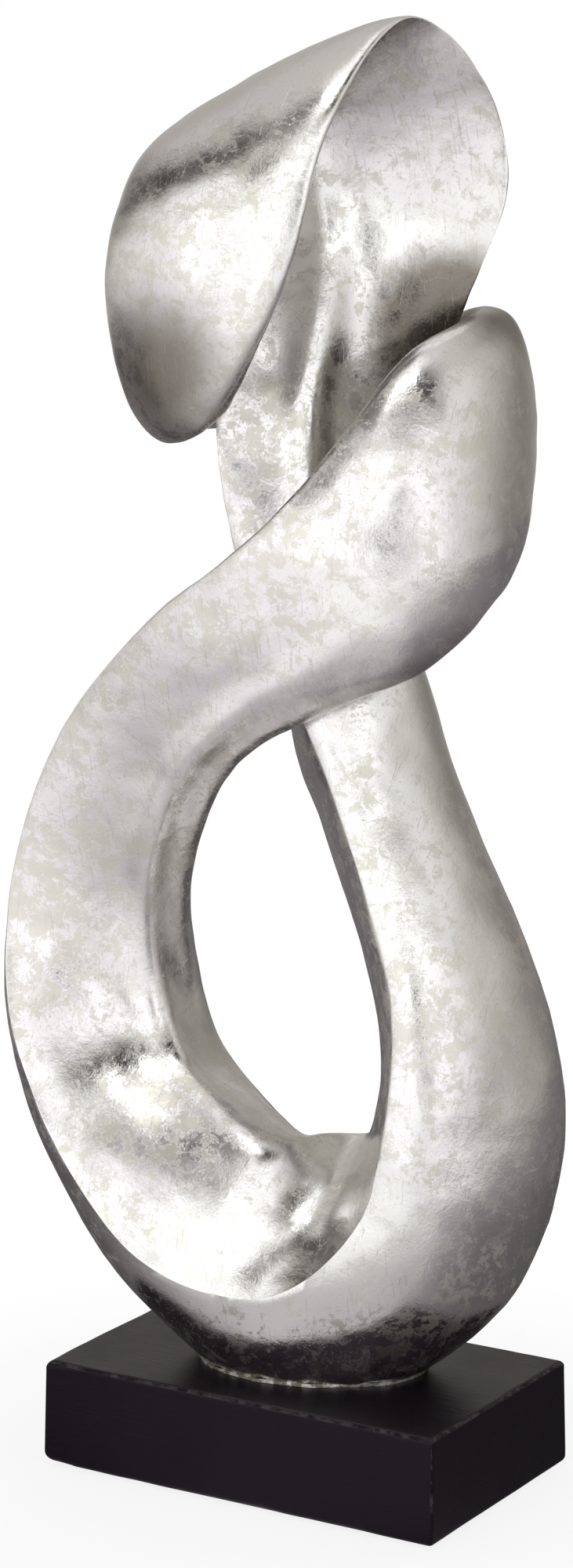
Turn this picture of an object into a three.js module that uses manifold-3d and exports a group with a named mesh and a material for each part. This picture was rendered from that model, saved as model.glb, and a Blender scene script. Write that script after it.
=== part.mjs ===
// Infinity sculpture: one continuous twisted band of two resin castings on a black wooden plinth.
// Millimetres, +Z up, resting on z = 0, with the long side of the plinth along X.
import * as THREE from "three";
import { mergeVertices } from "three/addons/utils/BufferGeometryUtils.js";
import Module from "manifold-3d";

const wasm = await Module();
wasm.setup();

// Plinth and felt
const PLINTH_LENGTH = 203;
const PLINTH_WIDTH = 125;
const PLINTH_TOP = 50;
const PLINTH_FLARE = 0.8;
const TOP_EDGE_ROUND = 2.6;
const BOTTOM_EDGE_ROUND = 3.4;
const CORNER_ROUND = 1.4;
const FELT_THICKNESS = 1.5;
const FELT_INSET = 6;
const FELT_CORNER = 8;

// Fastenings of the foot
const BOLT_SPACING = 44;
const FOOT_CENTRE = [2, -3];
const FOOT_TURN = THREE.MathUtils.degToRad(6.7);
const BOLT_RADIUS = 4;
const BOLT_HOLE_RADIUS = 4.4;
const BOLT_LENGTH = 55;
const BOLT_HEAD_RADIUS = 6.5;
const BOLT_HEAD_HEIGHT = 8;
const KEY_RADIUS = 3.45;
const KEY_DEPTH = 4.5;
const WASHER_RADIUS = 9;
const WASHER_THICKNESS = 1.6;
const COUNTERBORE_RADIUS = 11;
const COUNTERBORE_TOP = 14;
const INSERT_RADIUS = 6.5;
const INSERT_LENGTH = 20;
const INSERT_GROOVE = 0.6;

// Joint between the two castings
const FIT_GAP = 0.3;
const JOINT_HEIGHT = 332.5;
const JOINT_SLOPE = 0.196;
const JOINT_LEFT = 23.06;
const JOINT_RIGHT = 4.9;
const PIN_RADIUS = 6;
const PIN_LENGTH = 60;
const PIN_CHAMFER = 1;

// Filler bead round the foot
const BEAD_HEIGHT = 1.4;
const BEAD_WIDTH = 2.8;
const BEAD_GAP = 0.5;

// Band: sections along the loop, points round each one, the fold and the ridge across it,
// and how much the soft rim is thickened on each face
const SECTIONS_PER_STATION = 4;
const POINTS_ROUND = 40;
const FOLD_PLACE = 0.4;
const FOLD_WIDTH = 0.1;
const RIDGE_WIDTH = 0.11;
const RIM_LIP = 1.2;
const ROUND_FACETS = 32;

// The loop was set out as seen from in front of the near corner of the plinth: its points are
// across, away and up from there, and this turn brings them onto the plinth.
const VIEW_TURN = THREE.MathUtils.degToRad(31.437);

// Stations along the closed loop, from the foot up the right limb, round the folded leaf and the lobe,
// behind, and down the diagonal to the left limb. Each has its name, the sharp rim, the soft rim,
// the bulge of the front face and of the back face, the sharpness of the sharp rim on the front and
// on the back, that of the soft rim on the front and on the back, the height of the fold in the
// back face, and the height of the ridge along the front face and its place across the band.
const STATIONS = [
  ["bottom",         [-23, -47, 94],  [8, 26, 110],    51, 71, 1.1, -0.15, -0.15, -0.3, 0, 0, 0.5],
  ["bottom right",   [19, -55, 125],  [67, 28, 123],   40, 60, 1.1, 0, -0.15, -0.3, 0, 0, 0.5],
  ["right low",      [34, -52, 174],  [94, 34, 164],   41, 44, 0.9, 0.2, -0.3, -0.3, 0, 0, 0.6],
  ["right mid",      [36, -40, 231],  [82, 34, 225],   38, 36, 0.8, 0.2, -0.3, -0.3, 0, 0, 0.6],
  ["right upper",    [15, -18, 304],  [55, 44, 298],   37, 30, 0.8, 0.2, -0.3, -0.3, 0, 0, 0.6],
  ["crossing back",  [-1, -4, 344],   [49, 44, 340],   42, 28, 0.6, 0.2, -0.2, -0.2, 0, 0, 0.6],
  ["limb A low",     [-28, 14, 405],  [44, 46, 413],   24, 16, 0.4, 0.4, 0, 0, 3, 0, 0.6],
  ["limb A",         [-39, 18, 465],  [56, 48, 478],   22, 4, 0.4, 0.4, 0.3, 0.3, 5, 0, 0.6],
  ["leaf low",       [-38, 26, 505],  [70, 45, 521],   22, -4, 0.3, 0.3, 0.4, 0.4, 6, 0, 0.6],
  ["leaf mid",       [-42, 36, 550],  [88, 35, 574],   20, -12, 0.2, 0.2, 0.4, 0.4, 4, 0, 0.6],
  ["leaf upper",     [-54, 34, 580],  [78, 22, 620],   16, -10, 0.2, 0.2, 0.4, 0.4, 0, 0, 0.6],
  ["crest",          [-71, 18, 586],  [44, 5, 648],    10, -2, 0, 0, 0.3, 0.3, 0, 0, 0.6],
  ["lobe upper",     [-83, 8, 557],   [11, -25, 606],  14, -8, 0, 0, 0.5, 0.5, 0, 0, 0.6],
  ["lobe mid",       [-85, 12, 520],  [-8, -32, 540],  17, -8, 0, 0, 0.6, 0.6, 0, 0, 0.6],
  ["lobe low",       [-73, 28, 487],  [-33, -20, 484], 19, -5, 0, 0, 0, 0.4, 0, 0, 0.6],
  ["turn back",      [-48, 62, 498],  [-40, 16, 478],  22, -2, 0, 0, 0.4, 0.4, 0, 0, 0.6],
  ["behind",         [4, 90, 512],    [4, 80, 456],    16, 9, 0, 0, 0.2, 0.2, 0, 0, 0.6],
  ["right behind",   [60, 78, 516],   [66, 64, 448],   19, 10, 0, 0, 0, 0, 0, 0, 0.6],
  ["diagonal end",   [80, 36, 523],   [76, 26, 406],   24, 13, -0.2, 0, -0.2, -0.2, 0, 0, 0.6],
  ["diagonal upper", [44, -12, 506],  [73, -5, 393],   25, 22, 0, 0.1, -0.3, -0.3, 0, 0, 0.6],
  ["diagonal mid",   [3, -32, 457],   [52, -19, 371],  20, 22, 0.5, 0.4, -0.3, -0.3, 0, 0, 0.65],
  ["diagonal low",   [-29, -30, 424], [16, -14, 354],  14, 24, 0.5, 0.4, -0.2, -0.4, 0, 2, 0.7],
  ["left top",       [-68, -10, 390], [-21, 0, 333],   10, 28, 0.5, 0.3, -0.1, -0.5, 0, 4, 0.72],
  ["left upper",     [-109, 20, 336], [-42, 20, 302],  10, 30, 0.6, 0.2, -0.1, -0.5, 0, 5, 0.72],
  ["left mid",       [-134, 30, 259], [-52, 44, 252],  10, 34, 0.6, 0.1, -0.1, -0.5, 0, 5, 0.72],
  ["left low",       [-127, 8, 185],  [-42, 54, 192],  15, 42, 0.8, -0.1, 0.05, -0.5, 0, 5, 0.68],
  ["bottom left",    [-82, -24, 112], [-20, 46, 151],  41, 58, 1.0, -0.1, 0.15, -0.3, 0, 2, 0.6],
];

// Solids

function solidOf(geometry) {
  const bare = new THREE.BufferGeometry();
  bare.setAttribute("position", geometry.getAttribute("position"));
  bare.setIndex(geometry.getIndex());
  const merged = mergeVertices(bare, 1e-5);
  const corners = Array.from(merged.getIndex().array);
  const triVerts = [];
  for (let i = 0; i < corners.length; i += 3) {
    const [a, b, c] = corners.slice(i, i + 3);
    const isFlat = a === b || b === c || c === a;
    if (!isFlat) triVerts.push(a, b, c);
  }
  const mesh = new wasm.Mesh({
    numProp: 3,
    vertProperties: new Float32Array(merged.getAttribute("position").array),
    triVerts: new Uint32Array(triVerts),
  });
  return new wasm.Manifold(mesh);
}

function geometryOf(solid) {
  const mesh = solid.getMesh();
  const geometry = new THREE.BufferGeometry();
  geometry.setAttribute("position", new THREE.BufferAttribute(mesh.vertProperties, 3));
  geometry.setIndex(new THREE.BufferAttribute(mesh.triVerts, 1));
  return geometry;
}

// Revolved solid about a vertical axis; the profile lists radius and height, counter-clockwise.
function turned(profile, x = 0, y = 0, facets = ROUND_FACETS) {
  const points = profile.map(([radius, height]) => new THREE.Vector2(radius, height));
  const geometry = new THREE.LatheGeometry(points, facets);
  geometry.rotateX(Math.PI / 2);
  geometry.translate(x, y, 0);
  return geometry;
}

function roundBar(radius, bottom, top, x = 0, y = 0, facets = ROUND_FACETS) {
  return turned([[0, bottom], [radius, bottom], [radius, top], [0, top]], x, y, facets);
}

// Stack of closed outlines with the same number of points, capped at both ends.
function stacked(outlines) {
  const count = outlines[0].length;
  const positions = outlines.flat(2);
  const indices = [];
  for (let level = 0; level + 1 < outlines.length; level++) {
    for (let k = 0; k < count; k++) {
      const a = level * count + k;
      const b = level * count + (k + 1) % count;
      indices.push(a, b, b + count, a, b + count, a + count);
    }
  }
  const last = (outlines.length - 1) * count;
  for (let k = 1; k + 1 < count; k++) {
    indices.push(0, k + 1, k);
    indices.push(last, last + k, last + k + 1);
  }
  const geometry = new THREE.BufferGeometry();
  geometry.setAttribute("position", new THREE.Float32BufferAttribute(positions, 3));
  geometry.setIndex(indices);
  return geometry;
}

function roundedRectangle(length, width, radius, z, steps = 4) {
  const points = [];
  for (let corner = 0; corner < 4; corner++) {
    const sideX = corner === 0 || corner === 3 ? 1 : -1;
    const sideY = corner < 2 ? 1 : -1;
    for (let step = 0; step <= steps; step++) {
      const angle = (corner + step / steps) * Math.PI / 2;
      const x = sideX * (length / 2 - radius) + radius * Math.cos(angle);
      const y = sideY * (width / 2 - radius) + radius * Math.sin(angle);
      points.push([x, y, z]);
    }
  }
  return points;
}

// Band of the sculpture

function blended(a, b, c, d, f) {
  const rise = (c - a) * f;
  const bend = (2 * a - 5 * b + 4 * c - d) * f * f;
  const twist = (3 * b - a - 3 * c + d) * f * f * f;
  return 0.5 * (2 * b + rise + bend + twist);
}

// Station values at any place along the closed loop
function stationAt(place) {
  const count = STATIONS.length;
  const first = Math.floor(place);
  const part = place - first;
  const rows = [-1, 0, 1, 2].map((step) => STATIONS[(((first + step) % count) + count) % count]);
  const flat = rows.map((row) => row.slice(1).flat());
  const values = flat[1].map((_, k) => blended(flat[0][k], flat[1][k], flat[2][k], flat[3][k], part));
  const [front, back, sharpFront, sharpBack] = values.slice(6, 10);
  const [softFront, softBack, fold, ridge, ridgePlace] = values.slice(10);
  return {
    sharpRim: new THREE.Vector3(...values.slice(0, 3)),
    softRim: new THREE.Vector3(...values.slice(3, 6)),
    front,
    back,
    sharpFront,
    sharpBack,
    softFront,
    softBack,
    fold,
    ridge,
    ridgePlace,
  };
}

function middleAt(place) {
  const station = stationAt(place);
  return station.sharpRim.clone().lerp(station.softRim, 0.5);
}

function alongAt(place) {
  return middleAt(place + 1).sub(middleAt(place - 1)).normalize();
}

// Height of a face over its chord, 1 at its highest; each end is blunt below 0 and sharp above 0.
function faceShape(angle, sharp, soft) {
  const power = 1 + sharp;
  const other = 1 + soft;
  const highest = (power / (power + other)) ** (power / 2) * (other / (power + other)) ** (other / 2);
  const height = Math.abs(Math.sin(angle / 2)) ** power * Math.abs(Math.cos(angle / 2)) ** other;
  return height / highest;
}

// Closed outline of the band across the loop, from the sharp rim over the front face and back
function sectionAt(place) {
  const station = stationAt(place);
  const chord = station.softRim.clone().sub(station.sharpRim);
  const outward = alongAt(place).cross(chord).normalize();
  const points = [];
  for (let k = 0; k < POINTS_ROUND; k++) {
    const angle = 2 * Math.PI * k / POINTS_ROUND;
    const share = (1 - Math.cos(angle)) / 2;
    const foldHere = station.fold * Math.exp(-(((share - FOLD_PLACE) / FOLD_WIDTH) ** 2));
    const ridgeHere = station.ridge * Math.exp(-(((share - station.ridgePlace) / RIDGE_WIDTH) ** 2));
    const lipHere = RIM_LIP * share * Math.tanh(8 * Math.abs(Math.sin(angle)));
    const isFront = k <= POINTS_ROUND / 2;
    const height = isFront
      ? station.front * faceShape(angle, station.sharpFront, station.softFront) + ridgeHere + lipHere
      : -station.back * faceShape(angle, station.sharpBack, station.softBack) - foldHere - lipHere;
    const point = station.sharpRim.clone().addScaledVector(chord, share).addScaledVector(outward, height);
    points.push(point);
  }
  return points;
}

// Faces that close a section, rung by rung from the sharp rim to the soft one
function endFaces(start, isLast) {
  const faces = [];
  for (let k = 0; k < POINTS_ROUND / 2; k++) {
    const near = start + k;
    const next = start + k + 1;
    const far = start + (POINTS_ROUND - k) % POINTS_ROUND;
    const farNext = start + POINTS_ROUND - k - 1;
    if (next !== farNext) faces.push([near, next, farNext]);
    if (near !== far) faces.push([near, farNext, far]);
  }
  return faces.flatMap(([a, b, c]) => (isLast ? [a, c, b] : [a, b, c]));
}

// Length of band between two places on the loop, closed by flat ends
function bandBetween(from, to) {
  const steps = Math.round((to - from) * SECTIONS_PER_STATION);
  const positions = [];
  const indices = [];
  for (let step = 0; step <= steps; step++) {
    const section = sectionAt(from + step / SECTIONS_PER_STATION);
    section.forEach((point) => positions.push(...point.toArray()));
  }
  for (let step = 0; step < steps; step++) {
    for (let k = 0; k < POINTS_ROUND; k++) {
      const a = step * POINTS_ROUND + k;
      const b = step * POINTS_ROUND + (k + 1) % POINTS_ROUND;
      const c = a + POINTS_ROUND;
      const d = b + POINTS_ROUND;
      indices.push(a, d, b, a, c, d);
    }
  }
  indices.push(...endFaces(0, false), ...endFaces(steps * POINTS_ROUND, true));
  const geometry = new THREE.BufferGeometry();
  geometry.setAttribute("position", new THREE.Float32BufferAttribute(positions, 3));
  geometry.setIndex(indices);
  geometry.rotateZ(VIEW_TURN);
  return solidOf(geometry);
}

// Castings

// Everything above or below the tilted joint between the castings
function jointSide(isAbove) {
  const reach = 400;
  const block = new THREE.BoxGeometry(2 * reach, 2 * reach, 2 * reach);
  const shift = isAbove ? reach - FIT_GAP / 2 : FIT_GAP / 2 - reach;
  block.translate(0, 0, shift);
  block.rotateY(-Math.atan(JOINT_SLOPE));
  block.translate(0, 0, JOINT_HEIGHT);
  block.rotateZ(VIEW_TURN);
  return solidOf(block);
}

// Bar along the limb, centred in its section at a place on the loop
function barInLimb(place, radius, length, chamfer) {
  const half = length / 2;
  const bar = turned([
    [0, -half],
    [radius - chamfer, -half],
    [radius, -half + chamfer],
    [radius, half - chamfer],
    [radius - chamfer, half],
    [0, half],
  ]);
  const section = sectionAt(place);
  const centre = new THREE.Vector3();
  section.forEach((point) => centre.addScaledVector(point, 1 / section.length));
  const turn = new THREE.Quaternion();
  turn.setFromUnitVectors(new THREE.Vector3(0, 0, 1), alongAt(place));
  bar.applyQuaternion(turn);
  bar.translate(centre.x, centre.y, centre.z);
  bar.rotateZ(VIEW_TURN);
  return solidOf(bar);
}

function pinHole(place) {
  return barInLimb(place, PIN_RADIUS + FIT_GAP, PIN_LENGTH + 2 * FIT_GAP, PIN_CHAMFER);
}

function boltPlaces() {
  const alongFoot = new THREE.Vector2(BOLT_SPACING / 2, 0).rotateAround(new THREE.Vector2(), FOOT_TURN);
  const left = [FOOT_CENTRE[0] - alongFoot.x, FOOT_CENTRE[1] - alongFoot.y];
  const right = [FOOT_CENTRE[0] + alongFoot.x, FOOT_CENTRE[1] + alongFoot.y];
  return { left, right };
}

function lowerCasting(band) {
  const { left, right } = boltPlaces();
  const belowFoot = new THREE.BoxGeometry(400, 400, 200);
  belowFoot.translate(0, 0, PLINTH_TOP - 100);
  const pocket = ([x, y]) => {
    const top = PLINTH_TOP + INSERT_LENGTH + FIT_GAP;
    return solidOf(roundBar(INSERT_RADIUS + FIT_GAP, PLINTH_TOP - 1, top, x, y));
  };
  return band
    .subtract(solidOf(belowFoot))
    .subtract(jointSide(true))
    .subtract(pinHole(JOINT_LEFT))
    .subtract(pinHole(JOINT_RIGHT))
    .subtract(pocket(left))
    .subtract(pocket(right));
}

// Three lengths of band that touch where they pass one another, so that they fuse there
function upperCasting() {
  const leaf = bandBetween(4.5, 12);
  const lobe = bandBetween(12, 18);
  const diagonal = bandBetween(18, 23.5);
  return leaf
    .add(lobe)
    .add(diagonal)
    .subtract(jointSide(false))
    .subtract(pinHole(JOINT_LEFT))
    .subtract(pinHole(JOINT_RIGHT));
}

// Outline round the foot at one height, a set distance outside the band
function footOutline(skin, height, outside, count = 72) {
  const centre = new THREE.Vector3(...FOOT_CENTRE, height);
  const points = [];
  for (let k = 0; k < count; k++) {
    const angle = 2 * Math.PI * k / count;
    const direction = new THREE.Vector3(Math.cos(angle), Math.sin(angle), 0);
    const [hit] = new THREE.Raycaster(centre, direction).intersectObject(skin);
    const point = centre.clone().addScaledVector(direction, hit.distance + outside);
    points.push(point.toArray());
  }
  return points;
}

// Thin run of filler that fills the corner under the hull, just clear of it all the way round
function footBead(band) {
  const skin = new THREE.Mesh(geometryOf(band), new THREE.MeshBasicMaterial({ side: THREE.DoubleSide }));
  const lowered = geometryOf(band).translate(0, 0, -BEAD_GAP);
  const disc = stacked([
    footOutline(skin, PLINTH_TOP, BEAD_WIDTH),
    footOutline(skin, PLINTH_TOP + BEAD_HEIGHT / 2, BEAD_WIDTH - BEAD_HEIGHT / 2),
    footOutline(skin, PLINTH_TOP + BEAD_HEIGHT, BEAD_WIDTH - BEAD_HEIGHT),
  ]);
  return solidOf(disc).subtract(solidOf(lowered));
}

// Plinth and fastenings

function plinthBlock() {
  const steps = 4;
  const outlines = [];
  const addOutline = (inset, z) => {
    outlines.push(roundedRectangle(PLINTH_LENGTH - 2 * inset, PLINTH_WIDTH - 2 * inset, CORNER_ROUND, z));
  };
  for (let step = 0; step <= steps; step++) {
    const angle = step / steps * Math.PI / 2;
    const inset = BOTTOM_EDGE_ROUND * (1 - Math.sin(angle));
    addOutline(inset, FELT_THICKNESS + BOTTOM_EDGE_ROUND * (1 - Math.cos(angle)));
  }
  for (let step = 0; step <= steps; step++) {
    const angle = step / steps * Math.PI / 2;
    const inset = PLINTH_FLARE + TOP_EDGE_ROUND * (1 - Math.cos(angle));
    addOutline(inset, PLINTH_TOP - TOP_EDGE_ROUND * (1 - Math.sin(angle)));
  }
  let block = solidOf(stacked(outlines));
  for (const [x, y] of Object.values(boltPlaces())) {
    const hole = roundBar(BOLT_HOLE_RADIUS, 0, PLINTH_TOP + 1, x, y);
    const counterbore = roundBar(COUNTERBORE_RADIUS, 0, COUNTERBORE_TOP, x, y);
    block = block.subtract(solidOf(hole)).subtract(solidOf(counterbore));
  }
  return block;
}

function feltSheet() {
  const length = PLINTH_LENGTH - 2 * FELT_INSET;
  const width = PLINTH_WIDTH - 2 * FELT_INSET;
  const sheet = stacked([
    roundedRectangle(length, width, FELT_CORNER, 0, 6),
    roundedRectangle(length, width, FELT_CORNER, FELT_THICKNESS, 6),
  ]);
  let felt = solidOf(sheet);
  for (const [x, y] of Object.values(boltPlaces())) {
    felt = felt.subtract(solidOf(roundBar(COUNTERBORE_RADIUS + 1, -1, FELT_THICKNESS + 1, x, y)));
  }
  return felt;
}

function washer([x, y]) {
  const bottom = COUNTERBORE_TOP - WASHER_THICKNESS;
  const disc = solidOf(roundBar(WASHER_RADIUS, bottom, COUNTERBORE_TOP, x, y));
  return disc.subtract(solidOf(roundBar(BOLT_HOLE_RADIUS, bottom - 1, COUNTERBORE_TOP + 1, x, y)));
}

// Socket-head bolt, driven from below
function bolt([x, y]) {
  const seat = COUNTERBORE_TOP - WASHER_THICKNESS;
  const bottom = seat - BOLT_HEAD_HEIGHT;
  const tip = seat + BOLT_LENGTH;
  const body = turned([
    [0, bottom],
    [BOLT_HEAD_RADIUS - 0.6, bottom],
    [BOLT_HEAD_RADIUS, bottom + 0.6],
    [BOLT_HEAD_RADIUS, seat],
    [BOLT_RADIUS, seat],
    [BOLT_RADIUS, tip - 1],
    [BOLT_RADIUS - 1, tip],
    [0, tip],
  ], x, y);
  const key = roundBar(KEY_RADIUS, bottom - 1, bottom + KEY_DEPTH, x, y, 6);
  return solidOf(body).subtract(solidOf(key));
}

// Threaded bush moulded into the foot, with two grooves that hold it in the resin
function threadedInsert([x, y]) {
  const inner = BOLT_RADIUS + FIT_GAP;
  const outer = INSERT_RADIUS;
  const waist = INSERT_RADIUS - INSERT_GROOVE;
  const at = (share) => PLINTH_TOP + INSERT_LENGTH * share;
  const bush = turned([
    [0, at(0)],
    [outer, at(0)],
    [outer, at(0.22)],
    [waist, at(0.22)],
    [waist, at(0.42)],
    [outer, at(0.42)],
    [outer, at(0.6)],
    [waist, at(0.6)],
    [waist, at(0.8)],
    [outer, at(0.8)],
    [outer, at(1)],
    [0, at(1)],
  ], x, y);
  return solidOf(bush).subtract(solidOf(roundBar(inner, at(0) - 1, at(1) + 1, x, y)));
}

// Assembly

const silverLeaf = new THREE.MeshStandardMaterial({ color: 0xc9c5bb, metalness: 0.95, roughness: 0.34 });
const filler = new THREE.MeshStandardMaterial({ color: 0xcfccc2, metalness: 0.4, roughness: 0.5 });
const blackLacquer = new THREE.MeshStandardMaterial({ color: 0x141214, metalness: 0, roughness: 0.42 });
const blackFelt = new THREE.MeshStandardMaterial({ color: 0x1c1c1e, metalness: 0, roughness: 0.95 });
const zincSteel = new THREE.MeshStandardMaterial({ color: 0xa9adb0, metalness: 1, roughness: 0.35 });
const brass = new THREE.MeshStandardMaterial({ color: 0xb9974f, metalness: 1, roughness: 0.35 });

const sculpture = new THREE.Group();
sculpture.name = "infinity_sculpture";

function addPiece(name, solid, material) {
  const mesh = new THREE.Mesh(geometryOf(solid), material);
  mesh.name = name;
  sculpture.add(mesh);
}

const lowerBand = bandBetween(22, 32.5);
const boltAt = boltPlaces();

addPiece("lower_loop", lowerCasting(lowerBand), silverLeaf);
addPiece("upper_loop", upperCasting(), silverLeaf);
addPiece("foot_bead", footBead(lowerBand), filler);
addPiece("joint_pin_left", barInLimb(JOINT_LEFT, PIN_RADIUS, PIN_LENGTH, PIN_CHAMFER), zincSteel);
addPiece("joint_pin_right", barInLimb(JOINT_RIGHT, PIN_RADIUS, PIN_LENGTH, PIN_CHAMFER), zincSteel);
addPiece("plinth_block", plinthBlock(), blackLacquer);
addPiece("threaded_insert_left", threadedInsert(boltAt.left), brass);
addPiece("threaded_insert_right", threadedInsert(boltAt.right), brass);
addPiece("plinth_bolt_left", bolt(boltAt.left), zincSteel);
addPiece("plinth_bolt_right", bolt(boltAt.right), zincSteel);
addPiece("washer_left", washer(boltAt.left), zincSteel);
addPiece("washer_right", washer(boltAt.right), zincSteel);
addPiece("felt_sheet", feltSheet(), blackFelt);

export default sculpture;
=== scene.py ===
"""Infinity sculpture: a twisted band in silver leaf on a black lacquered plinth."""

import math

import bmesh
import bpy
import numpy as np
from mathutils import Matrix, Vector


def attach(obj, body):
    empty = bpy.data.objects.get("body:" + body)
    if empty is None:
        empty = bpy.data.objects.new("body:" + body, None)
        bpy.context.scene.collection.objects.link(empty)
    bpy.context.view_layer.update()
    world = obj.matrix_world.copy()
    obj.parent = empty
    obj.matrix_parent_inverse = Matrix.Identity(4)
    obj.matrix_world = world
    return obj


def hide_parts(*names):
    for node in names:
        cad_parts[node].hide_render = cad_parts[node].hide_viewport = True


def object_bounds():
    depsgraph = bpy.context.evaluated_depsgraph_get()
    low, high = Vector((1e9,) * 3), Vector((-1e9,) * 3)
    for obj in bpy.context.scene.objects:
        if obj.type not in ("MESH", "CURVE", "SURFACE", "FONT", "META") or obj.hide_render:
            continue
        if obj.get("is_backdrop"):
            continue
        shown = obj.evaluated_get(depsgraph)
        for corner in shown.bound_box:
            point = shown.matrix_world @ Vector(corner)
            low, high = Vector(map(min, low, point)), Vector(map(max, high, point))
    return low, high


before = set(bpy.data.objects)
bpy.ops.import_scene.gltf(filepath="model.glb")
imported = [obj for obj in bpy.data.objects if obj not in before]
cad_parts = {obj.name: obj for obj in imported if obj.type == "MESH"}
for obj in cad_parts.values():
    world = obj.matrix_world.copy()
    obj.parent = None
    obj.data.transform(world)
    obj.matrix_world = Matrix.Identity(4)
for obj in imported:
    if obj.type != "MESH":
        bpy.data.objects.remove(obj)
CAD_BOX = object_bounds()
MM = 0.001

# Camera: distance, aim and lens, all solved from the edges of the plinth
VIEW_TURN = math.radians(31.437)
VIEW_PITCH = math.radians(10.575)
VIEW_DISTANCE = 1.730
AIM_ACROSS = -0.00845
AIM_UP = 0.3159
LENS = 90
SENSOR = 36
CLIP_NEAR, CLIP_FAR = 0.1, 50

# Plinth and foot, in millimetres; the sides lean in by the flare between two heights
PLINTH_LENGTH = 203
PLINTH_WIDTH = 125
PLINTH_TOP = 50
PLINTH_FLARE = 0.8
FLARE_FROM, FLARE_TO = 8, 45
FLARE_LEVELS = 12
FELT_THICKNESS = 1.5
BOLT_SPACING = 44
FOOT_CENTRE = (2, -3)
FOOT_TURN = math.radians(6.7)
BOLT_HOLE_RADIUS = 4.4
COUNTERBORE_RADIUS = 11
COUNTERBORE_TOP = 14

# Edges of the plinth, in millimetres: upright corners, top and bottom edges and how much rounder
# they are at the rubbed corner, and their waves, given as for the leaf below; then the angle over
# which an edge is sharp, the upright part of a level face's normal, and facets and points
CORNER_ROUND = 1.4
TOP_ROUND, TOP_RUBBED = 2.4, 1.4
BOTTOM_ROUND, BOTTOM_RUBBED = 3.2, 2
RUBBED_REACH = 14
TOP_WAVES = (0.25, 12, 60, 12, 21)
BOTTOM_WAVES = (0.3, 14, 60, 12, 22)
SHARP_ON_PLINTH = 30
LEVEL_FACE = 0.999
CORNER_STEPS = 8
ROUND_STEPS = 8
OUTLINE_PITCH = 1.5

# Band: places along the loop and points round it, where the fold is and how wide it and the ridge
# are, as shares of the way across, and the lip in millimetres
STEPS_PER_STATION = 16
POINTS_ROUND = 128
FOLD_PLACE = 0.4
FOLD_WIDTH = 0.1
RIDGE_WIDTH = 0.11
LIP = 0.8
LIP_SHARPNESS = 8

# Uneven surface of the leaf, in millimetres: height, shortest and longest wave, number of waves and
# seed; it is sunk a little, to stay in the box of the solids
SKIN_WAVES = ((0.32, 26, 70, 26, 11), (0.1, 9, 20, 26, 12))
SKIN_SUNK = 0.1
SHARP_ON_SKIN = 50

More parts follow.
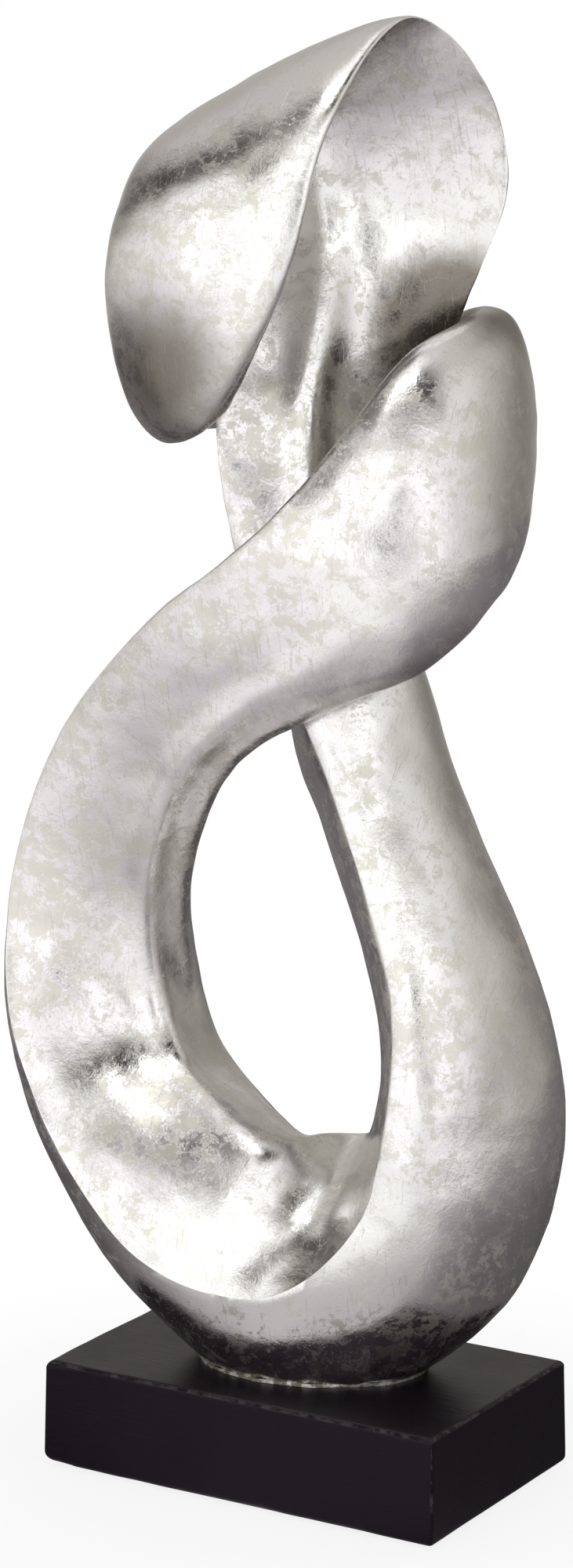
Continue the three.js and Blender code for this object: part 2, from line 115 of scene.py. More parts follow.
# Station by station: sharp rim, soft rim, bulge of the front and of the back face, sharpness of the
# sharp rim on the front and on the back, that of the soft rim on the front and on the back, height
# of the fold in the back face, and height and place of the ridge along the front face
STATIONS = np.array([
    (-23, -47, 94, 8, 26, 110, 51, 71, 1.1, -0.15, -0.15, -0.3, 0, 0, 0.5),
    (19, -55, 125, 67, 28, 123, 40, 60, 1.1, 0, -0.15, -0.3, 0, 0, 0.5),
    (34, -52, 174, 94, 34, 164, 41, 44, 0.9, 0.2, -0.3, -0.3, 0, 0, 0.6),
    (36, -40, 231, 82, 34, 225, 38, 36, 0.8, 0.2, -0.3, -0.3, 0, 0, 0.6),
    (15, -18, 304, 55, 44, 298, 37, 30, 0.8, 0.2, -0.3, -0.3, 0, 0, 0.6),
    (-1, -4, 344, 49, 44, 340, 42, 28, 0.6, 0.2, -0.2, -0.2, 0, 0, 0.6),
    (-28, 14, 405, 44, 46, 413, 24, 16, 0.4, 0.4, 0, 0, 3, 0, 0.6),
    (-39, 18, 465, 56, 48, 478, 22, 4, 0.4, 0.4, 0.3, 0.3, 5, 0, 0.6),
    (-38, 26, 505, 70, 45, 521, 22, -4, 0.3, 0.3, 0.4, 0.4, 6, 0, 0.6),
    (-42, 36, 550, 88, 35, 574, 20, -12, 0.2, 0.2, 0.4, 0.4, 4, 0, 0.6),
    (-54, 34, 580, 78, 22, 620, 16, -10, 0.2, 0.2, 0.4, 0.4, 0, 0, 0.6),
    (-71, 18, 586, 44, 5, 648, 10, -2, 0, 0, 0.3, 0.3, 0, 0, 0.6),
    (-83, 8, 557, 11, -25, 606, 14, -8, 0, 0, 0.5, 0.5, 0, 0, 0.6),
    (-85, 12, 520, -8, -32, 540, 17, -8, 0, 0, 0.6, 0.6, 0, 0, 0.6),
    (-73, 28, 487, -33, -20, 484, 19, -5, 0, 0, 0, 0.4, 0, 0, 0.6),
    (-48, 62, 498, -40, 16, 478, 22, -2, 0, 0, 0.4, 0.4, 0, 0, 0.6),
    (4, 90, 512, 4, 80, 456, 16, 9, 0, 0, 0.2, 0.2, 0, 0, 0.6),
    (60, 78, 516, 66, 64, 448, 19, 10, 0, 0, 0, 0, 0, 0, 0.6),
    (80, 36, 523, 76, 26, 406, 24, 13, -0.2, 0, -0.2, -0.2, 0, 0, 0.6),
    (44, -12, 506, 73, -5, 393, 25, 22, 0, 0.1, -0.3, -0.3, 0, 0, 0.6),
    (3, -32, 457, 52, -19, 371, 20, 22, 0.5, 0.4, -0.3, -0.3, 0, 0, 0.65),
    (-29, -30, 424, 16, -14, 354, 14, 24, 0.5, 0.4, -0.2, -0.4, 0, 2, 0.7),
    (-68, -10, 390, -21, 0, 333, 10, 28, 0.5, 0.3, -0.1, -0.5, 0, 4, 0.72),
    (-109, 20, 336, -42, 20, 302, 10, 30, 0.6, 0.2, -0.1, -0.5, 0, 5, 0.72),
    (-134, 30, 259, -52, 44, 252, 10, 34, 0.6, 0.1, -0.1, -0.5, 0, 5, 0.72),
    (-127, 8, 185, -42, 54, 192, 15, 42, 0.8, -0.1, 0.05, -0.5, 0, 5, 0.68),
    (-82, -24, 112, -20, 46, 151, 41, 58, 1.0, -0.1, 0.15, -0.3, 0, 2, 0.6),
], float)


# Meshes

def new_object(name, points, faces):
    mesh = bpy.data.meshes.new(name)
    mesh.from_pydata([tuple(p) for p in points], [], faces)
    mesh.update()
    obj = bpy.data.objects.new(name, mesh)
    bpy.context.scene.collection.objects.link(obj)
    return obj


def cut_out(obj, tool):
    """Cuts a closed mesh out of obj, and removes that mesh."""
    modifier = obj.modifiers.new("cut", "BOOLEAN")
    modifier.operation = "DIFFERENCE"
    modifier.solver = "MANIFOLD"
    modifier.object = tool
    graph = bpy.context.evaluated_depsgraph_get()
    mesh = bpy.data.meshes.new_from_object(obj.evaluated_get(graph))
    obj.modifiers.clear()
    old = obj.data
    obj.data = mesh
    bpy.data.meshes.remove(old)
    bpy.data.objects.remove(tool)


def cut_below(obj, height):
    """Takes away what lies below a height, in millimetres, and closes the cut."""
    work = bmesh.new()
    work.from_mesh(obj.data)
    parts = work.verts[:] + work.edges[:] + work.faces[:]
    plane = {"plane_co": (0, 0, height * MM), "plane_no": (0, 0, -1)}
    bmesh.ops.bisect_plane(work, geom=parts, dist=1e-7, clear_outer=True, **plane)
    rim = [edge for edge in work.edges if edge.is_boundary]
    bmesh.ops.contextual_create(work, geom=rim)
    work.to_mesh(obj.data)
    work.free()


def stacked(name, outlines):
    """Closed outlines with the same number of points, one over another, with both ends closed."""
    levels, count = len(outlines), len(outlines[0])
    points = np.concatenate(outlines)
    faces = []
    for level in range(levels - 1):
        for k in range(count):
            a = level * count + k
            b = level * count + (k + 1) % count
            faces.append((a, b, b + count, a + count))
    faces.append(tuple(range(count - 1, -1, -1)))
    faces.append(tuple(range((levels - 1) * count, levels * count)))
    return new_object(name, points * MM, faces)


def round_bar(radius, low, high, x, y, facets=64):
    angle = 2 * math.pi * np.arange(facets) / facets
    ring = np.stack([x + radius * np.cos(angle), y + radius * np.sin(angle)], 1)
    outlines = [np.column_stack([ring, np.full(facets, z)]) for z in (low, high)]
    return stacked("bar", outlines)


def coordinates(mesh):
    co = np.empty(len(mesh.vertices) * 3, np.float32)
    mesh.vertices.foreach_get("co", co)
    return co.reshape(-1, 3).astype(float)


def vertex_normals(mesh):
    normals = np.empty(len(mesh.vertices) * 3, np.float32)
    mesh.vertex_normals.foreach_get("vector", normals)
    return normals.reshape(-1, 3).astype(float)


def move_to(mesh, points):
    mesh.vertices.foreach_set("co", points.astype(np.float32).ravel())
    mesh.update()


def smooth_shading(obj, angle):
    """Smooth shading, with a sharp edge where faces meet at more than an angle in degrees."""
    obj.data.shade_smooth()
    obj.data.set_sharp_from_angle(angle=math.radians(angle))


def ripple(points, height, shortest, longest, waves, seed):
    """Smooth uneven field of about a height, made of plane waves between two lengths."""
    chance = np.random.default_rng(seed)
    total = np.zeros(len(points))
    for _ in range(waves):
        direction = chance.normal(size=3)
        direction /= np.linalg.norm(direction)
        length = chance.uniform(shortest, longest)
        phase = chance.uniform(0, 2 * math.pi)
        total += np.sin(2 * math.pi * (points @ direction) / length + phase)
    return height * (total / math.sqrt(waves))


def smooth_between(x, low, high):
    """Rises from 0 at low to 1 at high, level at both ends."""
    x = np.clip((x - low) / (high - low), 0, 1)
    return x * x * (3 - 2 * x)


# Band

def loop_values(places):
    """Rows of STATIONS at any places along the loop, by a closed Catmull-Rom curve."""
    first = np.floor(places).astype(int)
    f = (places - first)[:, None]
    a, b, c, d = (STATIONS[(first + step) % len(STATIONS)] for step in (-1, 0, 1, 2))
    rise = (c - a) * f
    bend = (2 * a - 5 * b + 4 * c - d) * f ** 2
    twist = (3 * b - a - 3 * c + d) * f ** 3
    return 0.5 * (2 * b + rise + bend + twist)


def middles(places):
    values = loop_values(places)
    return (values[:, :3] + values[:, 3:6]) / 2


def face_shape(angle, sharp, soft):
    """Bulge of one face, 0 at both rims and 1 at its highest; a sharpness over 0 thins that rim."""
    power, other = 1 + sharp, 1 + soft
    highest = (power / (power + other)) ** (power / 2) * (other / (power + other)) ** (other / 2)
    return np.abs(np.sin(angle / 2)) ** power * np.abs(np.cos(angle / 2)) ** other / highest


def band_sections(places):
    """Rings of points round the band at places along it: across, away and up, in millimetres."""
    values = loop_values(places)
    rim, chord = values[:, :3], values[:, 3:6] - values[:, :3]
    front, back, sharp_front, sharp_back = (values[:, k, None] for k in range(6, 10))
    soft_front, soft_back, fold, ridge, ridge_place = (values[:, k, None] for k in range(10, 15))
    outward = np.cross(middles(places + 1) - middles(places - 1), chord)
    outward /= np.linalg.norm(outward, axis=1, keepdims=True)
    turn = np.arange(POINTS_ROUND)
    angle = (2 * math.pi * turn / POINTS_ROUND)[None, :]
    share = (1 - np.cos(angle)) / 2
    hump = fold * np.exp(-(((share - FOLD_PLACE) / FOLD_WIDTH) ** 2))
    crest = ridge * np.exp(-(((share - ridge_place) / RIDGE_WIDTH) ** 2))
    lip = LIP * share * np.tanh(LIP_SHARPNESS * np.abs(np.sin(angle)))
    over = front * face_shape(angle, sharp_front, soft_front) + crest + lip
    under = -back * face_shape(angle, sharp_back, soft_back) - hump - lip
    height = np.where(turn[None, :] <= POINTS_ROUND / 2, over, under)
    across = chord[:, None] * share[..., None]
    return rim[:, None] + across + outward[:, None] * height[..., None]


def turned_onto_plinth(points):
    """Points given across, away and up as the camera sees them, turned into the frame's axes."""
    turn = np.array(Matrix.Rotation(VIEW_TURN, 3, "Z"))
    return points @ turn.T


def make_skin():
    """The whole loop of the band as one closed surface, level with the plinth at the foot."""
    steps, n = len(STATIONS) * STEPS_PER_STATION, POINTS_ROUND
    sections = band_sections(np.arange(steps) / STEPS_PER_STATION)
    faces = []
    for step in range(steps):
        for k in range(n):
            a, b = step * n + k, step * n + (k + 1) % n
            following = ((step + 1) % steps - step) * n
            faces.append((a, a + following, b + following, b))
    skin = new_object("leaf_skin", turned_onto_plinth(sections.reshape(-1, 3)) * MM, faces)
    points = coordinates(skin.data)
    normals = vertex_normals(skin.data)
    field = sum(ripple(points / MM, *waves) for waves in SKIN_WAVES)
    points += normals * (field - SKIN_SUNK)[:, None] * MM
    low, high = np.array(CAD_BOX[0]), np.array(CAD_BOX[1])
    move_to(skin.data, np.clip(points, low, high))
    cut_below(skin, PLINTH_TOP)
    smooth_shading(skin, SHARP_ON_SKIN)
    return skin


# Plinth

def bolt_places():
    step = np.array([math.cos(FOOT_TURN), math.sin(FOOT_TURN)]) * BOLT_SPACING / 2
    return [np.array(FOOT_CENTRE) - step, np.array(FOOT_CENTRE) + step]


def plinth_outline():
    """Points round the plinth seen from above, with rounded corners, in millimetres."""
    half_x, half_y = PLINTH_LENGTH / 2 - CORNER_ROUND, PLINTH_WIDTH / 2 - CORNER_ROUND
    corners = [(half_x, half_y), (-half_x, half_y), (-half_x, -half_y), (half_x, -half_y)]
    points = []
    for k, corner in enumerate(np.array(corners)):
        for step in range(CORNER_STEPS + 1):
            angle = (k + step / CORNER_STEPS) * math.pi / 2
            out = CORNER_ROUND * np.array([math.cos(angle), math.sin(angle)])
            points.append(corner + out)
        start, end = points[-1], np.array(corners[(k + 1) % 4]) + out
        count = int(np.linalg.norm(end - start) / OUTLINE_PITCH)
        points += [start + (end - start) * step / count for step in range(1, count)]
    return np.array(points)


def make_plinth():
    """The block, with uneven edges that are rubbed rounder at one corner, and its bolt holes."""
    points = plinth_outline()
    half = np.array([PLINTH_LENGTH / 2, PLINTH_WIDTH / 2])
    level = np.c_[points, np.zeros(len(points))]
    rubbed = np.exp(-(np.linalg.norm(points + half, axis=1) / RUBBED_REACH) ** 2)
    top = TOP_ROUND + TOP_RUBBED * rubbed + ripple(level, *TOP_WAVES)
    bottom = BOTTOM_ROUND + BOTTOM_RUBBED * rubbed + ripple(level, *BOTTOM_WAVES)
    outlines = []

    def add(inset, height):
        inset, height = (np.broadcast_to(v, len(points))[:, None] for v in (inset, height))
        outlines.append(np.hstack([points * (1 - inset / half), height]))

    quarter = [step / ROUND_STEPS * math.pi / 2 for step in range(ROUND_STEPS + 1)]
    for angle in quarter:
        add(bottom * (1 - math.sin(angle)), FELT_THICKNESS + bottom * (1 - math.cos(angle)))
    for z in np.linspace(FLARE_FROM, FLARE_TO, FLARE_LEVELS):
        add(PLINTH_FLARE * ((z - FLARE_FROM) / (FLARE_TO - FLARE_FROM)), z)
    for angle in quarter:
        add(PLINTH_FLARE + top * (1 - math.cos(angle)), PLINTH_TOP - top * (1 - math.sin(angle)))
    block = stacked("plinth_lacquer", outlines)
    for x, y in bolt_places():
        cut_out(block, round_bar(BOLT_HOLE_RADIUS, 0, PLINTH_TOP + 1, x, y))
        cut_out(block, round_bar(COUNTERBORE_RADIUS, 0, COUNTERBORE_TOP, x, y))
    smooth_shading(block, SHARP_ON_PLINTH)
    for face in block.data.polygons:
        face.use_smooth = abs(face.normal.z) < LEVEL_FACE
    return block


# Materials

class Nodes:
    """Adds nodes to a tree; an input takes a socket to link or a plain value."""

    def __init__(self, tree):
        self.tree = tree

    def put(self, socket, value):
        if isinstance(value, bpy.types.NodeSocket):
            self.tree.links.new(value, socket)
        else:
            socket.default_value = value

    def node(self, kind, inputs, output=0, **props):
        node = self.tree.nodes.new("ShaderNode" + kind)
        for key, value in props.items():
            setattr(node, key, value)
        for key, value in inputs.items():
            self.put(node.inputs[key], value)
        return node.outputs[output]

    def maths(self, operation, a, b=0.0):
        return self.node("Math", {0: a, 1: b}, operation=operation)

    def times(self, a, b):
        return self.maths("MULTIPLY", a, b)

    def most(self, a, b):
        return self.maths("MAXIMUM", a, b)

    def ray(self, kind):
        return self.node("LightPath", {}, "Is %s Ray" % kind)


class Surface(Nodes):
    """A node material for a surface, with its places in millimetres."""

    def __init__(self, name):
        self.material = bpy.data.materials.new(name)
        self.material.use_nodes = True
        super().__init__(self.material.node_tree)
        self.shader = self.tree.nodes["Principled BSDF"]
        where = self.node("TexCoord", {}, "Object")
        self.place = self.vector("MULTIPLY", where, (1000, 1000, 1000))

    def set(self, **values):
        for name, value in values.items():
            self.put(self.shader.inputs[name.replace("_", " ")], value)

    def show(self, shader):
        """Shows another shader in place of the Principled BSDF."""
        self.put(self.tree.nodes["Material Output"].inputs["Surface"], shader)

    def vector(self, operation, a, b):
        return self.node("VectorMath", {0: a, 1: b}, operation=operation)

    def noise(self, scale, detail=4.0, roughness=0.5, distortion=0.0, place=None, output=0):
        inputs = {"Vector": place or self.place, "Scale": scale, "Detail": detail,
                  "Roughness": roughness, "Distortion": distortion}
        return self.node("TexNoise", inputs, output)

    def span(self, value, low, high, to_low=0.0, to_high=1.0):
        inputs = {0: value, 1: low, 2: high, 3: to_low, 4: to_high}
        return self.node("MapRange", inputs, interpolation_type="SMOOTHSTEP")

    def mix(self, factor, a, b):
        return self.node("Mix", {0: factor, 2: a, 3: b}, data_type="FLOAT")

    def tint(self, factor, a, b):
        a, b = ((*colour, 1) if isinstance(colour, tuple) else colour for colour in (a, b))
        return self.node("Mix", {0: factor, 6: a, 7: b}, 2, data_type="RGBA")

    def bump(self, height, distance):
        """A normal from a height, which counts as a share of a distance in millimetres."""
        return self.node("Bump", {"Strength": 1.0, "Distance": distance * MM, "Height": height})

    def stretched(self, turn, scale, place=None):
        inputs = {"Vector": place or self.place, "Rotation": turn, "Scale": scale}
        return self.node("Mapping", inputs)


# Places of painted dark reflection on the leaf, in millimetres: middle across, away and up, radius
# of the darkest part and of the whole; and the heights between which the painted shade on the
# rubbed patches round the foot fades out
PAINTED_REFLECTION_PLACES = (((-60, -14, 500), 10, 48), ((64, 44, 512), 26, 46))
FOOT_SHADE_FROM, FOOT_SHADE_TO = 62, 100
HAIR_TURNS = ((0.3, 0.5, 0.9), (1.1, 0.2, 2.2), (0.6, 2.0, 0.1))


def silver_leaf():
    s = Surface("silver_leaf")
    drift = s.vector("SUBTRACT", s.noise(0.09, 6, 0.6, output=1), (0.5, 0.5, 0.5))
    ragged = s.vector("ADD", s.place, s.vector("MULTIPLY", drift, (9, 9, 9)))
    frayed = s.vector("ADD", s.place, s.vector("MULTIPLY", drift, (3, 3, 3)))

    # where the leaf is rubbed through to the ground: ragged patches, flakes and specks
    broad = s.times(s.noise(0.012, 3, 0.5), 0.35)
    worn = s.span(s.maths("ADD", s.noise(0.11, 15, 0.8, 0.3), broad), 0.70, 0.74)
    thin = s.span(s.noise(0.09, 15, 0.82, 0.5), 0.53, 0.56)
    specks = s.span(s.noise(0.45, 8, 0.75), 0.6, 0.64)
    ground = s.most(s.times(worn, 0.6), s.times(specks, 0.5))
    ground = s.most(ground, s.times(thin, 0.28))

    # colours of the leaf and of the ground under it
    drifting = s.span(s.noise(0.013, 4, 0.55), 0.42, 0.62)
    leaf = s.tint(drifting, (0.84, 0.83, 0.805), (0.79, 0.765, 0.775))
    under = s.tint(s.noise(0.05, 8, 0.6), (0.72, 0.69, 0.60), (0.56, 0.53, 0.43))
    colour = s.tint(ground, leaf, under)

    # painted dark reflection in dark brown, low on the lobe and low in the bowl of the leaf, and
    # painted shade on the rubbed patches round the foot
    painted_dark = 0.0
    for place, inner, outer in PAINTED_REFLECTION_PLACES:
        middle = tuple(float(v) for v in turned_onto_plinth(np.array([place], float))[0])
        away = s.node("VectorMath", {0: frayed, 1: middle}, 1, operation="DISTANCE")
        painted_dark = s.most(painted_dark, s.span(away, inner, outer, 1.0, 0.0))
    up = s.node("SeparateXYZ", {"Vector": ragged}, 2)
    painted_dark = s.most(painted_dark, s.times(s.span(up, FOOT_SHADE_FROM, FOOT_SHADE_TO, 1.0, 0.0), worn))
    colour = s.tint(s.times(painted_dark, 0.9), colour, (0.17, 0.145, 0.12))

    # overlaps of the sheets of leaf, and hair scratches
    seams = s.node("TexVoronoi", {"Vector": ragged, "Scale": 0.0125, "Randomness": 0.5},
                   feature="DISTANCE_TO_EDGE")
    sheets = s.span(seams, 0.0, 0.004, 1.0, 0.0)
    hairs = 0.0
    for turn in HAIR_TURNS:
        hair = s.noise(1.2, 2, 0.5, place=s.stretched(turn, (0.9, 0.035, 0.035), frayed))
        hairs = s.most(hairs, s.span(hair, 0.69, 0.72))
    lines = s.most(s.times(sheets, 0.3), s.times(hairs, 0.6))
    colour = s.tint(s.times(lines, 0.35), colour, (0.50, 0.48, 0.43))

    # wide wrinkles and crumple of the leaf, and the steps at the patches and hairs
    crumple = s.noise(0.8, 5, 0.62, 0.4)
    wrinkles = s.noise(0.14, 4, 0.5, 0.6)
    height = s.maths("ADD", s.times(wrinkles, 0.27), s.times(crumple, 0.13))
    height = s.maths("SUBTRACT", height, s.times(ground, 0.03))
    height = s.maths("SUBTRACT", height, s.times(hairs, 0.06))
    gloss = s.span(s.noise(0.05, 6, 0.6), 0.3, 0.7, 0.13, 0.24)
    s.set(Base_Color=colour, Metallic=s.mix(ground, 1.0, 0.7), Roughness=s.mix(ground, gloss, 0.36),
          Normal=s.bump(height, 0.5))
    return s.material


def black_lacquer():
    s = Surface("black_lacquer")
    strokes = s.noise(1.0, 5, 0.6, place=s.stretched((0, 0, 0), (0.035, 0.035, 0.9)))
    sweep = s.noise(1.0, 5, 0.6, 0.6, place=s.stretched((0, 0, 0.15), (0.03, 0.8, 0.8)))
    specks = s.span(s.noise(0.8, 3, 0.6), 0.74, 0.78)
    colour = s.tint(s.noise(0.03, 4, 0.5), (0.0042, 0.0022, 0.005), (0.0075, 0.0045, 0.0085))
    colour = s.tint(s.times(specks, 0.4), colour, (0.12, 0.115, 0.12))

    # paint rubbed thin along the top edges and down the corners, lighter there: partly wear and
    # partly a painted edge highlight
    across, away, up = (s.node("SeparateXYZ", {"Vector": s.place}, k) for k in range(3))
    rim = s.times(s.span(up, PLINTH_TOP - 1.7, PLINTH_TOP - 1.2),
                  s.span(up, PLINTH_TOP - 0.35, PLINTH_TOP - 0.15, 1.0, 0.0))
    past_x = s.maths("SUBTRACT", s.maths("ABSOLUTE", across), PLINTH_LENGTH / 2 - 1.5)
    past_y = s.maths("SUBTRACT", s.maths("ABSOLUTE", away), PLINTH_WIDTH / 2 - 1.5)
    edges = s.most(rim, s.span(s.maths("MINIMUM", past_x, past_y), 0.0, 0.3))
    rubbed = s.times(edges, s.span(s.noise(0.1, 8, 0.72), 0.44, 0.6))
    colour = s.tint(s.times(rubbed, 0.4), colour, (0.11, 0.10, 0.095))
    s.set(Base_Color=colour, Roughness=s.mix(s.noise(0.05, 5, 0.6), 0.24, 0.4),
          Specular_IOR_Level=0.2, Specular_Tint=(1.0, 0.86, 1.0, 1),
          Normal=s.bump(s.maths("ADD", strokes, sweep), 0.12))
    return s.material


def filler():
    s = Surface("filler")
    patch = s.span(s.noise(0.16, 8, 0.65), 0.45, 0.56)
    colour = s.tint(patch, (0.66, 0.65, 0.61), (0.20, 0.18, 0.13))
    s.set(Base_Color=colour, Metallic=0.6, Roughness=s.mix(patch, 0.3, 0.55),
          Normal=s.bump(s.noise(0.5, 6, 0.6), 0.4))
    return s.material


def turned_metal(name, dark, light):
    s = Surface(name)
    spin = s.noise(1.0, 4, 0.6, place=s.stretched((0, 0, 0), (0.2, 0.2, 3.0)))
    s.set(Base_Color=s.tint(spin, dark, light), Metallic=1.0, Roughness=s.mix(spin, 0.25, 0.42),
          Normal=s.bump(spin, 0.05))
    return s.material


def felt():
    s = Surface("felt")
    fibres = s.noise(1.6, 6, 0.75, 1.5)
    s.set(Base_Color=s.tint(fibres, (0.012, 0.012, 0.014), (0.045, 0.045, 0.05)),
          Roughness=s.mix(fibres, 0.85, 1.0), Sheen_Weight=0.3, Normal=s.bump(fibres, 0.4))
    return s.material


# Pieces

SILVER, LACQUER, FILLER = silver_leaf(), black_lacquer(), filler()
STEEL = turned_metal("steel", (0.55, 0.56, 0.57), (0.68, 0.69, 0.70))
BRASS = turned_metal("brass", (0.62, 0.46, 0.22), (0.78, 0.62, 0.34))
FELT = felt()


def dress(obj, material):
    obj.data.materials.clear()
    obj.data.materials.append(material)


def piece(obj, material, slot, *nodes):
    dress(obj, material)
    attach(obj, "root")
    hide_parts(*nodes)


piece(make_skin(), SILVER, "silver_leaf", "lower_loop", "upper_loop")
piece(make_plinth(), LACQUER, "black_lacquer", "plinth_block")
CARRIED_OVER = {
    "foot_bead": FILLER,
    "joint_pin_left": STEEL,
    "joint_pin_right": STEEL,
    "threaded_insert_left": BRASS,
    "threaded_insert_right": BRASS,
    "plinth_bolt_left": STEEL,
    "plinth_bolt_right": STEEL,
    "washer_left": STEEL,
    "washer_right": STEEL,
    "felt_sheet": FELT,
}
for name, material in CARRIED_OVER.items():
    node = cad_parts[name]
    if not node.material_slots:
        node.data.materials.append(material)
    for slot in node.material_slots:
        slot.material = material


# Stage, in metres and degrees; azimuth 0 is towards the camera and 90 to its right

FLOOR_HALF = 6.0
LAMPS_AIM = 0.33
WORLD_LIGHT = 0.55
TENT_RADIUS = 3.0
TENT_TOP = 89
TENT_COLUMNS, TENT_ROWS = 180, 90
FLOOR_CLOTH_FROM = 0.02
FLOOR_CLOTH_UP = 0.0004
FLOOR_CLOTH_COLUMNS, FLOOR_CLOTH_ROWS = 90, 30

# Lamps: azimuth, elevation, distance, width, height, level, and whether they show in reflections
LAMPS = {
    "left_panel": (-40, 20, 1.7, 1.0, 1.2, 1.5, False),
    "right_panel": (50, 20, 1.8, 0.8, 1.2, 1.0, False),
    "near_lamp": (-3, 60, 2.2, 0.5, 0.5, 5, True),
}

# Brightness of the cloth all round, low down and high up, and of the floor cloth
TENT_AZIMUTHS = (-180, -150, -137, -112, -100, -87, -66, -55, -40, -25, 20, 32, 45, 52, 60, 70, 85,
                 95, 105, 115, 130, 150, 180)
TENT_LEVELS = (0.55, 0.5, 0.5, 0.62, 0.68, 0.74, 0.93, 1.1, 1.4, 1.5, 1.5, 1.25, 0.9, 0.78, 0.67,
               0.58, 0.52, 0.43, 0.34, 0.26, 0.22, 0.3, 0.55)
UPPER_AZIMUTHS = (-180, -60, -30, 30, 60, 180)
UPPER_LEVELS = (0.6, 0.64, 1.2, 1.2, 0.6, 0.4)
FLOOR_AZIMUTHS = (-180, -120, -90, -70, -45, -16, 12, 26, 45, 57, 71, 90, 130, 180)
FLOOR_LEVELS = (0.15, 0.16, 0.35, 0.75, 1.0, 1.02, 0.85, 0.5, 0.3, 0.25, 0.22, 0.2, 0.15, 0.15)

# Dark arcs across the cloth: the share of light that an arc takes, azimuths, its elevation and its
# strength at each of them, and how many degrees it reaches below and above that elevation
DARK_ARCS = (
    (0.9, (-150, -125, -97, -76, -60, -48, -38, -26), (25, 33, 44, 50, 55, 58, 61, 63),
     (0, 0.8, 1, 1, 1, 1, 1, 0.2), 26, 10),
    (0.98, (-12, -2, 20, 45, 62), (54, 54, 55, 55, 55), (0, 0.9, 1, 1, 0), 28, 22),
)


def make_floor():
    """A pale floor that keeps the object's shadow, and shows white to the camera and in mirrors."""
    corners = [(x * FLOOR_HALF, y * FLOOR_HALF, 0) for x, y in ((-1, -1), (1, -1), (1, 1), (-1, 1))]
    floor = new_object("floor", corners, [(0, 1, 2, 3)])
    s = Surface("pale_floor")
    s.set(Base_Color=(0.86, 0.86, 0.86, 1), Roughness=0.9)
    away = s.node("VectorMath", {0: s.place}, 1, operation="LENGTH")
    seen = s.most(s.ray("Camera"), s.ray("Glossy"))
    white = s.times(seen, s.span(away, 90.0, 330.0, 0.85, 1.0))
    glow = s.node("Emission", {"Strength": 1.0})
    s.show(s.node("MixShader", {0: white, 1: s.shader.outputs[0], 2: glow}))
    dress(floor, s.material)
    floor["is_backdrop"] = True


def make_world():
    """Plain light from all round, which shows white to the camera, in mirrors and through glass."""
    world = bpy.data.worlds.new("studio")
    bpy.context.scene.world = world
    world.use_nodes = True
    w = Nodes(world.node_tree)
    seen = w.most(w.ray("Camera"), w.most(w.ray("Glossy"), w.ray("Transmission")))
    background = w.tree.nodes["Background"]
    w.put(background.inputs["Color"], (1, 1, 1, 1))
    w.put(background.inputs["Strength"], w.node("MapRange", {0: seen, 3: WORLD_LIGHT, 4: 1.0}))


def seen_from_camera(across, away, up):
    """A place or a way given across, away and up as the camera sees them, in the frame's axes."""
    return Vector(turned_onto_plinth(np.array([[across, away, up]]))[0])


def around(azimuth, elevation, distance, centre):
    """A place round a centre at some height over the origin, across, away and up."""
    a, e = math.radians(azimuth), math.radians(elevation)
    flat = distance * math.cos(e)
    return (flat * math.sin(a), -flat * math.cos(a), centre + distance * math.sin(e))


def softbox(name, azimuth, elevation, distance, width, height, level, in_reflections):
    """A rectangular lamp aimed at the object, with its brightness as seen in a mirror."""
    light = bpy.data.lights.new(name, "AREA")
    light.shape = "RECTANGLE"
    light.size, light.size_y = width, height
    light.energy = level * math.pi * width * height
    obj = bpy.data.objects.new(name, light)
    obj.location = seen_from_camera(*around(azimuth, elevation, distance, LAMPS_AIM))
    way = obj.location - Vector((0, 0, LAMPS_AIM))
    obj.rotation_euler = way.to_track_quat("Z", "Y").to_euler()
    obj.visible_glossy = in_reflections
    bpy.context.scene.collection.objects.link(obj)


def arc_shade(azimuth, elevation, azimuths, centres, depths, below, above):
    """How far a dark arc across the cloth covers a direction, fading out on both sides of it."""
    off = elevation - np.interp(azimuth, azimuths, centres)
    reach = above if off > 0 else below
    return (1 - smooth_between(abs(off), 5, reach)) * np.interp(azimuth, azimuths, depths)


def tent_light(azimuth, elevation):
    """Colour of the cloth in a direction: white in front and grey towards the back."""
    level = np.interp(azimuth, TENT_AZIMUTHS, TENT_LEVELS)
    level = min(level, 1.0 + 0.5 * smooth_between(elevation, 2, 12))
    upper = np.interp(azimuth, UPPER_AZIMUTHS, UPPER_LEVELS)
    level += (upper - level) * smooth_between(elevation, 50, 64)
    level *= 1 + 0.4 * smooth_between(elevation, 22, 34) * smooth_between(azimuth, 38, 58)
    for taken, *arc in DARK_ARCS:
        level *= 1 - taken * arc_shade(azimuth, elevation, *arc)

    # a dark patch with soft edges, and a dark panel low in front
    patch = 1.3 - math.hypot((azimuth + 28) / 10, (elevation - 42) / 18)
    level *= 1 - 0.8 * smooth_between(patch, 0, 0.5)
    panel = min(azimuth - 1, 19 - azimuth, elevation - 9, 24 - elevation)
    level *= 1 - 0.95 * smooth_between(panel, 0, 3)
    warmth = 1 - smooth_between(level, 0.3, 1.0)
    return level * (np.array([1, 1, 1]) - warmth * np.array([0, 0.05, 0.13]))


def floor_light(azimuth, away):
    """Colour of the floor in mirrors: dimmer at the sides and behind, and painted shadow near the
    plinth.
    """
    level = np.interp(azimuth, FLOOR_AZIMUTHS, FLOOR_LEVELS)
    # painted shadow of the object on the floor, round the plinth
    level *= 0.56 + 0.56 * smooth_between(away, 0.15, 1.1)
    violet = 1 - smooth_between(level, 0.2, 0.9)
    return level * (np.array([1, 1, 1]) - violet * np.array([0, 0.07, 0.03]))


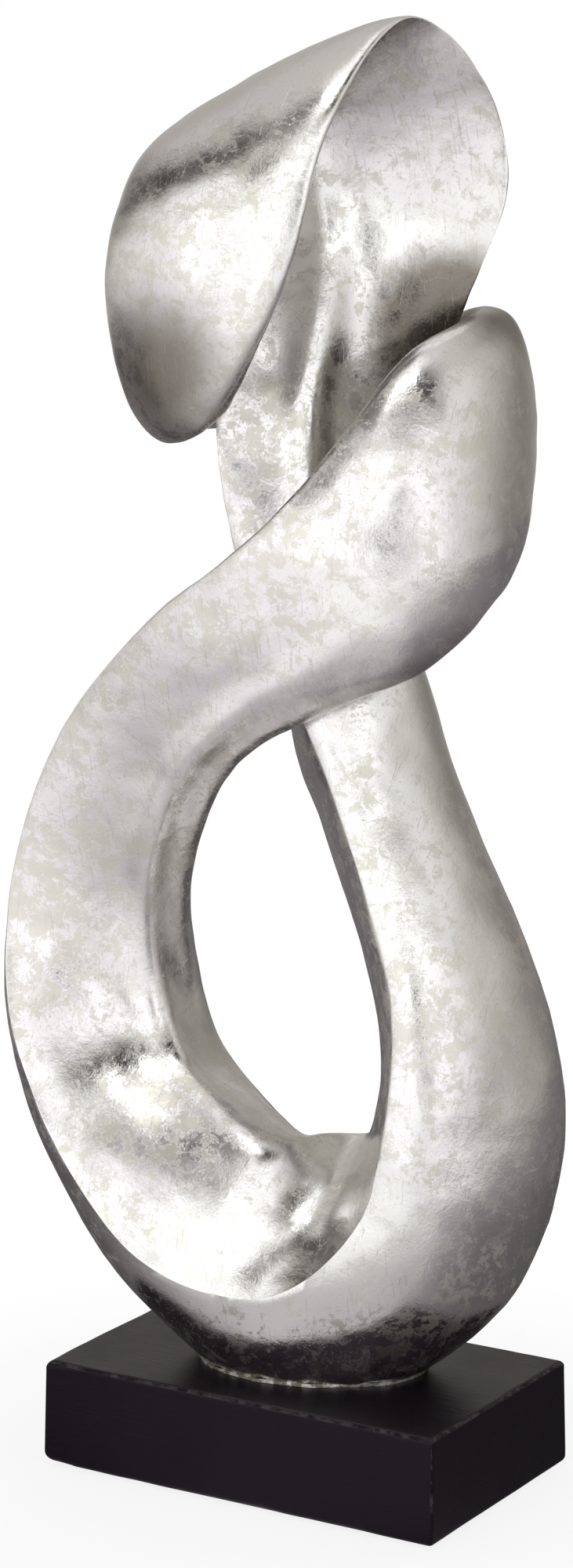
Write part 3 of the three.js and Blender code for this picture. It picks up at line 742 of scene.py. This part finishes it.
def glowing(name, points, faces, colours):
    """A sheet that shows only in reflections, with its own colour and brightness at every point."""
    card = new_object(name, points, faces)
    layer = card.data.color_attributes.new("light", "FLOAT_COLOR", "POINT")
    values = np.c_[colours, np.ones(len(points))]
    layer.data.foreach_set("color", values.astype(np.float32).ravel())
    s = Surface(name)
    s.show(s.node("Emission", {"Color": s.node("Attribute", {}, "Color", attribute_name="light")}))
    dress(card, s.material)
    for kind in ("camera", "diffuse", "transmission", "shadow"):
        setattr(card, "visible_" + kind, False)
    card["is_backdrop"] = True


def polar(name, columns, rows, place, light):
    """A sheet laid out by azimuth and by row from 0 to 1, closed round the object."""
    points, colours, faces = [], [], []
    for i in range(columns):
        azimuth = 360 * i / columns - 180
        for j in range(rows + 1):
            points.append(place(azimuth, j / rows))
            colours.append(light(azimuth, j / rows))
            if j < rows:
                a, b = i * (rows + 1) + j, (i + 1) % columns * (rows + 1) + j
                faces.append((a, a + 1, b + 1, b))
    glowing(name, points, faces, colours)


def make_tent():
    def place(azimuth, share):
        return seen_from_camera(*around(azimuth, TENT_TOP * share, TENT_RADIUS, 0.0))

    def light(azimuth, share):
        return tent_light(azimuth, TENT_TOP * share)

    polar("tent", TENT_COLUMNS, TENT_ROWS, place, light)


def make_floor_cloth():
    def away(share):
        return FLOOR_CLOTH_FROM + (TENT_RADIUS - FLOOR_CLOTH_FROM) * share ** 2

    def place(azimuth, share):
        return seen_from_camera(*around(azimuth, 0, away(share), FLOOR_CLOTH_UP))

    def light(azimuth, share):
        return floor_light(azimuth, away(share))

    polar("floor_cloth", FLOOR_CLOTH_COLUMNS, FLOOR_CLOTH_ROWS, place, light)


def make_camera():
    data = bpy.data.cameras.new("camera")
    data.lens = LENS
    data.sensor_width = SENSOR
    data.clip_start, data.clip_end = CLIP_NEAR, CLIP_FAR
    camera = bpy.data.objects.new("camera", data)
    right = seen_from_camera(1, 0, 0)
    back = seen_from_camera(0, -math.cos(VIEW_PITCH), math.sin(VIEW_PITCH))
    up = back.cross(right)
    place = seen_from_camera(AIM_ACROSS, 0, AIM_UP) + back * VIEW_DISTANCE
    turn = Matrix((right, up, back)).transposed().to_4x4()
    camera.matrix_world = Matrix.Translation(place) @ turn
    bpy.context.scene.collection.objects.link(camera)
    bpy.context.scene.camera = camera


make_floor()
make_world()
make_tent()
make_floor_cloth()
for name, values in LAMPS.items():
    softbox(name, *values)
make_camera()
bpy.context.scene.view_settings.view_transform = "Standard"

boxes = {"cad": CAD_BOX, "visual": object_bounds()}
{name: [list(corner) for corner in box] for name, box in boxes.items()}
